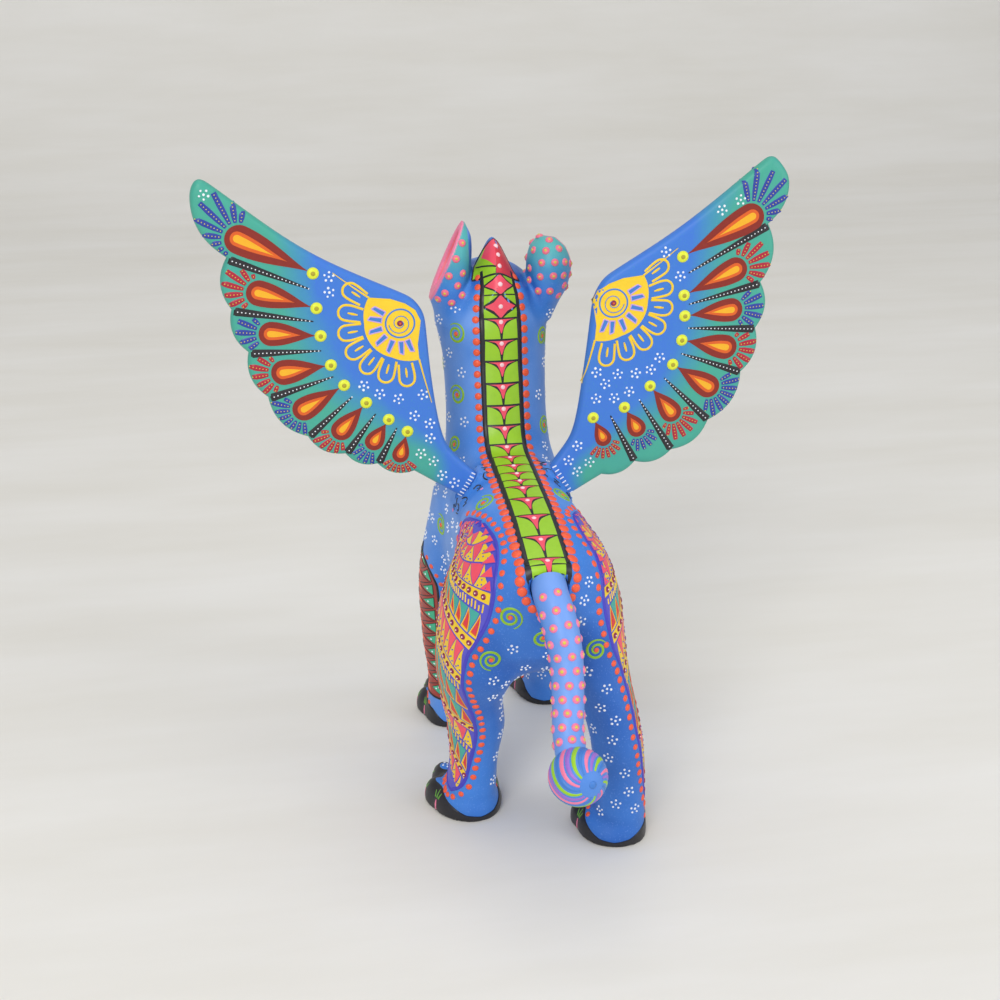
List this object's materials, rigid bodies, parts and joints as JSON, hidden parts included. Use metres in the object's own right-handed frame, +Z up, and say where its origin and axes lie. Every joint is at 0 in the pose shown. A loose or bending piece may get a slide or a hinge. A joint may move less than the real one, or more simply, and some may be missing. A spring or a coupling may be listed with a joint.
{
  "type": "alebrije figure",
  "caption": "Carved and painted wooden winged cat standing mid-stride, with plug-in wings and tail and glued cup-shaped ears.",
  "frame": {"origin": "middle of the figure's overall footprint, on the ground under the paws", "axes": "+Z up, the cat faces -Y, its left side is towards +X"},
  "size_m": [0.1903, 0.18, 0.2159],
  "materials": {
    "painted_body": "satin acrylic paint on carved wood",
    "painted_wing": "satin acrylic paint on carved wood",
    "painted_tail": "satin acrylic paint on carved wood",
    "painted_ear": "satin acrylic paint on carved wood",
    "bare_wood": "bare turned dowel"
  },
  "bodies": {
    "carving": {"body": "painted_body", "left_ear": "painted_ear", "left_ear_peg": "bare_wood", "right_ear": "painted_ear", "right_ear_peg": "bare_wood"},
    "left_wing": {"left_wing": "painted_wing", "left_wing_dowels": "bare_wood"},
    "right_wing": {"right_wing": "painted_wing", "right_wing_dowels": "bare_wood"},
    "tail_peg": {"tail_peg": "bare_wood"},
    "tail": {"tail": "painted_tail"}
  },
  "joints": [
    {"name": "left_wing_pull", "type": "slide", "parent": "carving", "child": "left_wing", "axis": [0.848, 0, 0.53], "range_m": [0, 0.02]},
    {"name": "right_wing_pull", "type": "slide", "parent": "carving", "child": "right_wing", "axis": [-0.8575, 0, 0.5145], "range_m": [0, 0.02]},
    {"name": "tail_swivel", "type": "hinge", "parent": "carving", "child": "tail_peg", "pos_m": [-0.0054, 0.0465, 0.0978], "axis": [0, 0.88, -0.475], "range_deg": [-45, 45]},
    {"name": "tail_pull", "type": "slide", "parent": "tail_peg", "child": "tail", "axis": [0, 0.88, -0.475], "range_m": [0, 0.02]}
  ]
}
